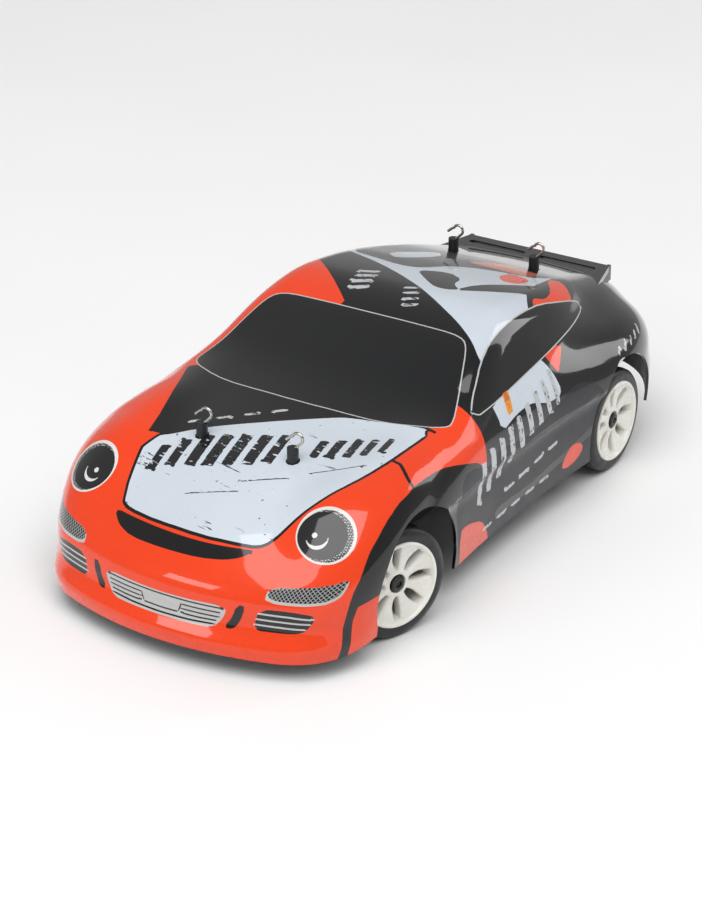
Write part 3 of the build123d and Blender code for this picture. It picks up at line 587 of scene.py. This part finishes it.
def skin_grid(fan, middle, across):
    """Points on the outer surface, along the car and across it."""
    turn = np.radians(np.concatenate([np.linspace(94, 0, fan, endpoint=False), np.zeros(middle),
                                      -np.linspace(0, 94, fan + 1)[1:]]))
    x = np.concatenate([np.full(fan, 62.0), np.linspace(62, -62, middle), np.full(fan, -62.0)])
    ease = np.clip((np.abs(x) - 34) / 28, 0, 1)
    first = np.radians(8) * ease * ease * (3 - 2 * ease)
    angle = first[:, None] + (pi / 2 - first[:, None]) * np.linspace(0, 1, 200)[None]
    d = np.stack([np.sin(angle) * np.sin(turn)[:, None], np.cos(angle), np.sin(angle) * np.cos(turn)[:, None]], -1)
    o = np.stack([x, 0 * x, 0 * x + 5.0], -1)[:, None]
    near, far = np.full(angle.shape, 5.0), np.full(angle.shape, 150.0)
    for _ in range(34):
        mid = (near + far) / 2
        p = o + d * mid[..., None]
        out = body(p[..., 0], p[..., 1], p[..., 2]) > 0
        far = np.where(out, mid, far)
        near = np.where(out, near, mid)
    p = o + d * near[..., None]
    run = np.concatenate([np.zeros((len(x), 1)), np.cumsum(np.linalg.norm(np.diff(p, axis=1), axis=2), 1)], 1)
    even = np.empty((len(x), across, 3))
    for i in range(len(x)):
        at = np.linspace(0, run[i, -1], across)
        for k in range(3):
            even[i, :, k] = np.interp(at, run[i], p[i, :, k])
    return np.concatenate([even, even[:, -2::-1] * [1, -1, 1]], 1)


def coordinates(bm):
    return np.array([v.co[:] for v in bm.verts])


def split_along(bm, f):
    """Cuts every face that the line f = 0 crosses, along that line."""
    bm.verts.ensure_lookup_table()
    co = coordinates(bm)
    value = f(*co.T)
    value = np.where(np.abs(value) < 1e-4, 1e-4, value)
    for i, v in enumerate(bm.verts):
        v.index = i
    crossing = []
    for e in bm.edges:
        a, b = value[e.verts[0].index], value[e.verts[1].index]
        if (a > 0) != (b > 0) and (abs(a) + abs(b)) < 12:
            crossing.append((e, e.verts[0], a / (a - b)))
    fresh = []
    for e, v, t in crossing:
        t = min(max(t, 0.03), 0.97)
        fresh.append(bmesh.utils.edge_split(e, v, t)[1])
    faces = {}
    marked = set(fresh)
    for v in fresh:
        for face in v.link_faces:
            faces.setdefault(face, []).append(v)
    for face, verts in faces.items():
        if face.is_valid and len(verts) == 2:
            try:
                bmesh.utils.face_split(face, verts[0], verts[1])
            except ValueError:
                pass
        elif face.is_valid and len(verts) == 4:
            ring = [v for v in face.verts if v in marked]
            try:
                made = bmesh.utils.face_split(face, ring[0], ring[1])[0]
                rest = made if all(v in made.verts for v in ring[2:]) else face
                bmesh.utils.face_split(rest, ring[2], ring[3])
            except ValueError:
                pass


def arch(cx, cz, radius, low, high):
    """Negative inside a wheel arch: a round top, straight sides to the ground."""
    def f(x, y, z):
        round_part = np.hypot(x - cx, z - cz) - radius
        legs = np.maximum(np.maximum(low - x, x - high), z - cz)
        return np.where(np.abs(y) < 25, 5.0, np.minimum(round_part, legs))
    return f


def lower_edge(x, y, z):
    level = curve(x, (-120, 15), (-80, 15), (-72, 13), (-40, 10.6), (0, 10), (36, 9.6), (74, 7.6), (84, 6.3),
                  (120, 6.2))
    return z - level


grid = skin_grid(fan=60, middle=104, across=70)
rows, cols = grid.shape[:2]
mesh = bpy.data.meshes.new("grid")
index = np.arange(rows * cols).reshape(rows, cols)
quads = np.stack([index[:-1, :-1], index[1:, :-1], index[1:, 1:], index[:-1, 1:]], -1).reshape(-1, 4)
mesh.from_pydata(grid.reshape(-1, 3).tolist(), [], quads.tolist())
bm = bmesh.new()
bm.from_mesh(mesh)
bpy.data.meshes.remove(mesh)

post_tops = []
for px, py in POSTS:
    post_tops.append((px, py, roof_height(px, py)))
cuts = [arch(FRONT_AXLE, 16.5, 20.0, 37.0, 76.5), arch(REAR_AXLE, 17.5, 20.0, -78.0, -41.0), lower_edge]
for px, py, pz in post_tops:
    cuts.append(lambda x, y, z, px=px, py=py: np.where(z < 40, 5.0, np.hypot(x - px, y - py) - POST_HOLE))
for cut in cuts:
    split_along(bm, cut)
    centres = np.array([f.calc_center_median()[:] for f in bm.faces])
    gone = cut(*centres.T) < 0
    bmesh.ops.delete(bm, geom=[f for f, g in zip(bm.faces, gone) if g], context="FACES")
lamps = ball(83.3, 37.4, 36.8, 8.6)
near_lamp = [f for f in bm.faces if lamps(*np.array(f.calc_center_median()[:])) > 0]
bmesh.ops.subdivide_edges(bm, edges=list({e for f in near_lamp for e in f.edges}), cuts=3, use_grid_fill=True)
co = coordinates(bm)
lift = body(*co.T)
for v, up, d in zip(bm.verts, slope(co), lift):
    if abs(d) < 0.3:
        v.co -= Vector(up) * float(d)
for name, f in layers:
    if hasattr(f, "spine"):
        split_along(bm, f.spine)
    split_along(bm, f)
slots = list(livery)
centres = np.array([f.calc_center_median()[:] for f in bm.faces])
choice = np.full(len(centres), slots.index("black"))
for name, f in layers:
    choice[f(*centres.T) > 0] = slots.index(name)

outer = coordinates(bm)
normal = slope(outer)
n_outer = len(outer)
bm.verts.ensure_lookup_table()
for i, v in enumerate(bm.verts):
    v.index = i
faces = [[v.index for v in f.verts] for f in bm.faces]
open_edges = []
for e in bm.edges:
    if len(e.link_faces) == 1:
        loop = e.link_loops[0]
        open_edges.append((loop.vert.index, loop.link_loop_next.vert.index))
bm.free()
flip = np.dot(np.cross(outer[faces[0][1]] - outer[faces[0][0]], outer[faces[0][2]] - outer[faces[0][0]]),
              normal[faces[0][0]]) < 0
points = np.concatenate([outer, outer - normal * WALL]) * MM
polygons, kinds = [], []
for f, c in zip(faces, choice):
    f = f[::-1] if flip else f
    polygons.append(f)
    kinds.append(int(c))
    polygons.append([i + n_outer for i in f[::-1]])
    kinds.append(slots.index("inside"))
for a, b in open_edges:
    if flip:
        a, b = b, a
    polygons.append([b, a, a + n_outer, b + n_outer])
    kinds.append(slots.index("black"))
shell_mesh = bpy.data.meshes.new("body_shell_print")
shell_mesh.from_pydata(points.tolist(), [], polygons)
shell = new_object("body_shell_print", shell_mesh, "shell", list(livery.values()))
shell_mesh.polygons.foreach_set("material_index", kinds)
shell_mesh.polygons.foreach_set("use_smooth", [True] * len(polygons))
corner_normals = np.zeros((len(shell_mesh.loops), 3))
at = 0
full_normal = np.concatenate([normal, -normal])
for p, k in zip(polygons, kinds):
    corner_normals[at:at + len(p)] = full_normal[p]
    at += len(p)
n_rim = len(open_edges)
at = len(corner_normals) - 4 * n_rim
for p in polygons[len(polygons) - n_rim:]:
    q = points[p]
    face_normal = np.cross(q[1] - q[0], q[2] - q[0])
    corner_normals[at:at + 4] = face_normal / (np.linalg.norm(face_normal) + 1e-12)
    at += 4
shell_mesh.normals_split_custom_set(corner_normals.tolist())
shell_mesh.update()
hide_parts("body_shell")


# ------------------------------------------------------------------ helpers for the smaller pieces
def piece(name, build, body_name, material, replaced):
    """A piece from a bmesh recipe, smoothed up to sharp edges."""
    bm = bmesh.new()
    build(bm)
    bmesh.ops.remove_doubles(bm, verts=bm.verts, dist=1e-7)
    bmesh.ops.recalc_face_normals(bm, faces=bm.faces)
    me = bpy.data.meshes.new(name)
    bm.to_mesh(me)
    bm.free()
    obj = new_object(name, me, body_name, [material])
    only(obj)
    bpy.ops.object.shade_smooth_by_angle(angle=radians(35))
    obj.select_set(False)
    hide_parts(replaced)


def tube(bm, path, radius, sides):
    """A round wire along points, closed at both ends."""
    path = [Vector(p) for p in path]
    last = len(path) - 1
    up = Vector((1, 0, 0))
    rings = []
    for i, p in enumerate(path):
        t = (path[min(i + 1, last)] - path[max(i - 1, 0)]).normalized()
        u = (up - t * up.dot(t)).normalized()
        w = t.cross(u)
        rings.append([bm.verts.new(p + radius * (u * cos(2 * pi * k / sides) + w * sin(2 * pi * k / sides)))
                      for k in range(sides)])
    for p, q in zip(rings, rings[1:]):
        for k in range(sides):
            bm.faces.new([p[k], p[(k + 1) % sides], q[(k + 1) % sides], q[k]])
    bm.faces.new(rings[0][::-1])
    bm.faces.new(rings[-1])


# ------------------------------------------------------------------ wheels
tyre_rubber, tp = shader("tyre_rubber", (0.012, 0.012, 0.013), 0.42)
tn = Nodes(tyre_rubber)
tn.link(tn.ramp(tn.noise(160, 4), 0.3, 0.75, (0.008, 0.008, 0.009), (0.022, 0.021, 0.021)), tp.inputs["Base Color"])
tn.link(tn.ramp(tn.noise(420, 3), 0.3, 0.7, (0.30,) * 3, (0.55,) * 3), tp.inputs["Roughness"])
tn.bump(tp, tn.noise(1600, 2), 0.12, 0.0002)
rim_plastic, rp = shader("rim_cream", (0.88, 0.87, 0.82), 0.28, coat=0.25)
rn = Nodes(rim_plastic)
rn.link(rn.ramp(rn.noise(120, 3), 0.3, 0.8, (0.80, 0.785, 0.72), (0.90, 0.89, 0.84)), rp.inputs["Base Color"])
rn.link(rn.ramp(rn.noise(300, 3), 0.3, 0.7, (0.20,) * 3, (0.38,) * 3), rp.inputs["Roughness"])
rn.bump(rp, rn.noise(900, 2), 0.06, 0.0002)
rp.inputs["Subsurface Weight"].default_value = 0.08
rp.inputs["Subsurface Radius"].default_value = (0.001, 0.0008, 0.0005)
nut_black = plastic("nut_black", (0.012, 0.012, 0.013), 0.3, 600, 0.08)
steel = metal("turned_steel", (0.48, 0.48, 0.50), 0.26, (1, 6, 1))


def only(obj):
    bpy.ops.object.select_all(action="DESELECT")
    obj.select_set(True)
    bpy.context.view_layer.objects.active = obj


def turned(name, rings, steps):
    """Turned piece about the Y axis: a circle extruded and scaled through (radius, along) rings."""
    bpy.ops.object.select_all(action="DESELECT")
    r0, a0 = rings[0]
    bpy.ops.mesh.primitive_circle_add(vertices=steps, radius=r0 * MM, fill_type="NOTHING", location=(0, a0 * MM, 0),
                                      rotation=(pi / 2, 0, 0))
    obj = bpy.context.object
    obj.name = name
    bpy.ops.object.transform_apply(location=True, rotation=True, scale=True)
    bpy.ops.object.mode_set(mode="EDIT")
    bpy.ops.mesh.select_all(action="SELECT")
    for (r, a), (rn, an) in zip(rings, rings[1:]):
        bpy.ops.mesh.extrude_edges_move(TRANSFORM_OT_translate={"value": (0, (an - a) * MM, 0)})
        bpy.ops.transform.resize(value=(rn / r, 1, rn / r), center_override=(0, an * MM, 0))
    if rings[0] == rings[-1]:
        bpy.ops.mesh.select_all(action="SELECT")
        bpy.ops.mesh.remove_doubles(threshold=1e-6)
    else:
        bpy.ops.mesh.edge_face_add()
        bpy.ops.mesh.select_all(action="DESELECT")
        bpy.ops.mesh.select_non_manifold()
        bpy.ops.mesh.edge_face_add()
    bpy.ops.mesh.select_all(action="SELECT")
    bpy.ops.mesh.normals_make_consistent(inside=False)
    bpy.ops.object.mode_set(mode="OBJECT")
    return obj


def soften(obj, width, segments=2, angle=30):
    only(obj)
    mod = obj.modifiers.new("bevel", "BEVEL")
    mod.width = width * MM
    mod.segments = segments
    mod.limit_method = "ANGLE"
    mod.angle_limit = radians(angle)
    bpy.ops.object.modifier_apply(modifier=mod.name)
    bpy.ops.object.shade_smooth_by_angle(angle=radians(angle))


def merged(objects, name):
    only(objects[0])
    for o in objects:
        o.select_set(True)
    bpy.ops.object.join()
    bpy.context.object.name = name
    return bpy.context.object


def spoke():
    """One spoke along +X: slim at the hub, flared into the lip, dished inward and rounded on its face."""
    bpy.ops.object.select_all(action="DESELECT")
    bpy.ops.mesh.primitive_cube_add(size=MM, location=(7.4 * MM, 12.4 * MM, 0))
    obj = bpy.context.object
    bpy.ops.transform.resize(value=(8.4, 2.6, 2.2))
    bpy.ops.object.transform_apply(location=True, rotation=True, scale=True)
    bpy.ops.object.mode_set(mode="EDIT")
    bpy.ops.mesh.select_all(action="DESELECT")
    bm = bmesh.from_edit_mesh(obj.data)
    for e in bm.edges:
        e.select = abs(e.verts[0].co.x - e.verts[1].co.x) > 4 * MM
    bmesh.update_edit_mesh(obj.data)
    bpy.ops.mesh.subdivide_edgering(number_cuts=5)
    width = {0: 2.3, 1: 2.3, 2: 2.7, 3: 3.4, 4: 4.5, 5: 6.0, 6: 8.2}
    lift = {0: 0.35, 1: 0.1, 2: -0.05, 3: 0.0, 4: 0.3, 5: 0.8, 6: 1.5}
    bm = bmesh.from_edit_mesh(obj.data)
    for v in bm.verts:
        k = round((v.co.x / MM - 3.2) / 1.4)
        v.co.z *= width[k] / 2.2
        v.co.y += lift[k] * MM
    for f in bm.faces:
        f.select = f.normal.y > 0.7
    bmesh.update_edit_mesh(obj.data)
    bpy.ops.mesh.inset(thickness=0.42 * MM, depth=0.34 * MM, use_boundary=True)
    bpy.ops.object.mode_set(mode="OBJECT")
    return obj


def seated(source, corner, name, body_name, material, replace):
    """A copy with its own mesh, set at one corner of the car."""
    obj = source.copy()
    obj.data = source.data.copy()
    obj.name = name
    bpy.context.collection.objects.link(obj)
    s = 1 if corner[1] == "l" else -1
    x = FRONT_AXLE if corner[0] == "f" else REAR_AXLE
    turn = STEERED if corner[0] == "f" else 0.0
    obj.matrix_world = (Matrix.Translation((x * MM, s * KINGPIN_Y * MM, AXLE_Z * MM))
                        @ Matrix.Rotation(turn + (0 if s > 0 else pi), 4, "Z"))
    only(obj)
    bpy.ops.object.transform_apply(location=True, rotation=True, scale=True)
    obj.data.materials.clear()
    obj.data.materials.append(material)
    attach(obj, body_name)
    if replace:
        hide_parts(replace)


tyre = turned("tyre", [(12.0, 5.7), (14.2, 5.7), (15.2, 6.1), (15.8, 6.8), (16.0, 7.8), (16.0, 10.5), (16.0, 13.2),
                       (15.8, 14.4), (15.2, 15.1), (14.2, 15.5), (13.2, 15.55), (12.5, 15.5), (12.45, 15.2), (12.0, 15.1),
                       (12.0, 5.7)], 96)
only(tyre)
bpy.ops.object.shade_smooth_by_angle(angle=radians(40))

barrel = turned("barrel", [(11.95, 5.7), (11.95, 15.1), (12.4, 15.2), (12.4, 15.7), (12.15, 16.0), (11.6, 15.9),
                           (11.15, 15.3),
                           (10.9, 14.4), (10.8, 12.0), (11.0, 9.0), (11.2, 5.7), (11.95, 5.7)], 96)
hub_disc = turned("hub_disc", [(1.6, 9.2), (4.3, 9.2), (4.3, 13.0), (4.05, 14.1), (3.4, 14.45), (2.7, 14.45),
                               (2.6, 13.2),
                               (1.6, 13.1), (1.6, 9.2)], 64)
spokes = []
for k in range(SPOKES):
    one = spoke()
    soften(one, 0.22, 2, 25)
    one.rotation_euler = (0, 2 * pi * (k + 0.5) / SPOKES, 0)
    bpy.ops.object.transform_apply(location=True, rotation=True, scale=True)
    spokes.append(one)
soften(barrel, 0.12, 2)
soften(hub_disc, 0.15, 2)
rim = merged([barrel, hub_disc] + spokes, "rim")

axle = turned("axle", [(2.3, -1.0), (2.4, -1.6), (3.2, -1.6), (3.2, 2.6), (1.5, 2.6), (1.5, 7.4), (3.0, 7.4),
                       (3.0, 9.1),
                       (1.5, 9.1), (1.5, 13.4), (1.2, 13.7)], 48)
soften(axle, 0.1)
flange = turned("flange", [(1.6, 13.15), (2.5, 13.15), (2.5, 13.6), (1.6, 13.6), (1.6, 13.15)], 40)
hexagon = turned("hexagon", [(2.35, 13.5), (2.35, 14.7), (1.9, 15.0), (1.1, 15.0), (1.0, 14.3)], 6)
nut = merged([flange, hexagon], "nut")
soften(nut, 0.12)

for corner in ("fl", "fr", "rl", "rr"):
    seated(tyre, corner, "slick_tyre_" + corner, "wheel_" + corner, tyre_rubber, "tyre_" + corner)
    seated(rim, corner, "spoked_rim_" + corner, "wheel_" + corner, rim_plastic, "rim_" + corner)
    seated(axle, corner, "stub_axle_" + corner, "wheel_" + corner, steel, "axle_" + corner)
    seated(nut, corner, "wheel_nut_" + corner, "wheel_" + corner, nut_black, None)
for source in (tyre, rim, axle, nut):
    bpy.data.objects.remove(source)


# ------------------------------------------------------------------ body clips
wire_metal = metal("clip_wire", (0.62, 0.60, 0.55), 0.16, (1, 1, 8), 0.05)


def build_clips(bm):
    for px, py, pz in post_tops:
        u, v = Vector((0, 0.7071, 0.7071)), Vector((0, -0.7071, 0.7071))
        o = Vector((px, py, pz + CLIP_HEIGHT))
        flat = [(-1.9, 0.0), (-1.0, 0.0), (0, 0.0), (1.5, 0.0), (3.2, 0.0), (3.9, 0.0)]
        for k in range(1, 13):
            a = -pi / 2 + k * radians(200) / 12
            flat.append((3.9 + 1.6 * cos(a), 1.6 + 1.6 * sin(a)))
        flat += [(2.4, 3.32), (1.5, 3.42), (0.6, 3.5)]
        tube(bm, [(o + u * a + v * b) * MM for a, b in flat], 0.42 * MM, 14)


piece("wire_clips", build_clips, "clips", wire_metal, "body_clips")

# ------------------------------------------------------------------ materials for the CAD nodes
nylon = plastic("glass_nylon", (0.016, 0.016, 0.018), 0.42, 800, 0.15)
wing_gloss = plastic("wing_gloss", (0.007, 0.007, 0.009), 0.16, 500, 0.04, coat=0.8)
tub = plastic("tub_plastic", (0.012, 0.014, 0.032), 0.4, 700, 0.18)
can = metal("motor_can", (0.52, 0.52, 0.54), 0.3, (6, 1, 1))
brass = metal("pinion_brass", (0.74, 0.54, 0.22), 0.25, (6, 1, 1))
sinter = metal("sintered_gear", (0.30, 0.30, 0.32), 0.5, (1, 6, 1), 0.2)
white_gear = plastic("white_nylon", (0.74, 0.73, 0.68), 0.4, 700, 0.1)
black_screw = metal("black_oxide", (0.07, 0.07, 0.08), 0.35, (1, 1, 1))
wrap = plastic("battery_wrap", (0.03, 0.11, 0.42), 0.2, 300, 0.08, coat=0.4)
board = plastic("circuit_board", (0.02, 0.17, 0.07), 0.35, 1200, 0.2)
servo_plastic = plastic("servo_plastic", (0.015, 0.03, 0.12), 0.35, 700, 0.12)
by_slot = {"nylon_black": nylon, "wing_gloss": wing_gloss, "tub_blue_black": tub, "shaft_steel": steel,
           "wire_steel": wire_metal,
           "can_steel": can, "pinion_brass": brass, "gear_grey": sinter, "gear_white": white_gear, "screw_black": black_screw,
           "battery_wrap": wrap, "board_green": board, "servo_blue": servo_plastic, "shell_lacquer": livery["red"],
           "rim_cream": rim_plastic, "drift_tyre": tyre_rubber}
for part in frame["record"]["subparts"]:
    node = frame["nodes"][part["node"]]
    for s in node.material_slots:
        s.material = by_slot[part["material_slot"]]

# ------------------------------------------------------------------ floor, backdrop and light
bpy.ops.mesh.primitive_plane_add(size=8.0, location=(0, 0, 0))
floor = bpy.context.object
floor.name = "floor"
floor_material, fp = shader("floor", (0.93, 0.93, 0.93), 0.6)
fn = Nodes(floor_material)
fn.link(fn.ramp(fn.noise(6, 2), 0.3, 0.7, (0.92, 0.92, 0.92), (0.95, 0.95, 0.95)), fp.inputs["Base Color"])
floor.data.materials.append(floor_material)

world = bpy.data.worlds.new("studio") if bpy.context.scene.world is None else bpy.context.scene.world
bpy.context.scene.world = world
world.use_nodes = True
world.node_tree.nodes["Background"].inputs["Color"].default_value = (1, 1, 1, 1)
world.node_tree.nodes["Background"].inputs["Strength"].default_value = 0.36


def softbox(name, place, size, power, target=(0, 0, 0.03)):
    data = bpy.data.lights.new(name, "AREA")
    data.shape = "RECTANGLE"
    data.size, data.size_y = size
    data.energy = power
    obj = bpy.data.objects.new(name, data)
    bpy.context.collection.objects.link(obj)
    obj.location = place
    obj.rotation_euler = (Vector(target) - Vector(place)).to_track_quat("-Z", "Y").to_euler()


softbox("overhead", (0.75, 0.45, 1.9), (2.2, 1.8), 40.0)
softbox("rear_kicker", (-1.6, 0.9, 1.0), (0.5, 1.2), 5.0)
softbox("front_fill", (1.4, -0.6, 0.7), (0.5, 0.3), 2.0)

bpy.context.scene.view_settings.view_transform = "Standard"
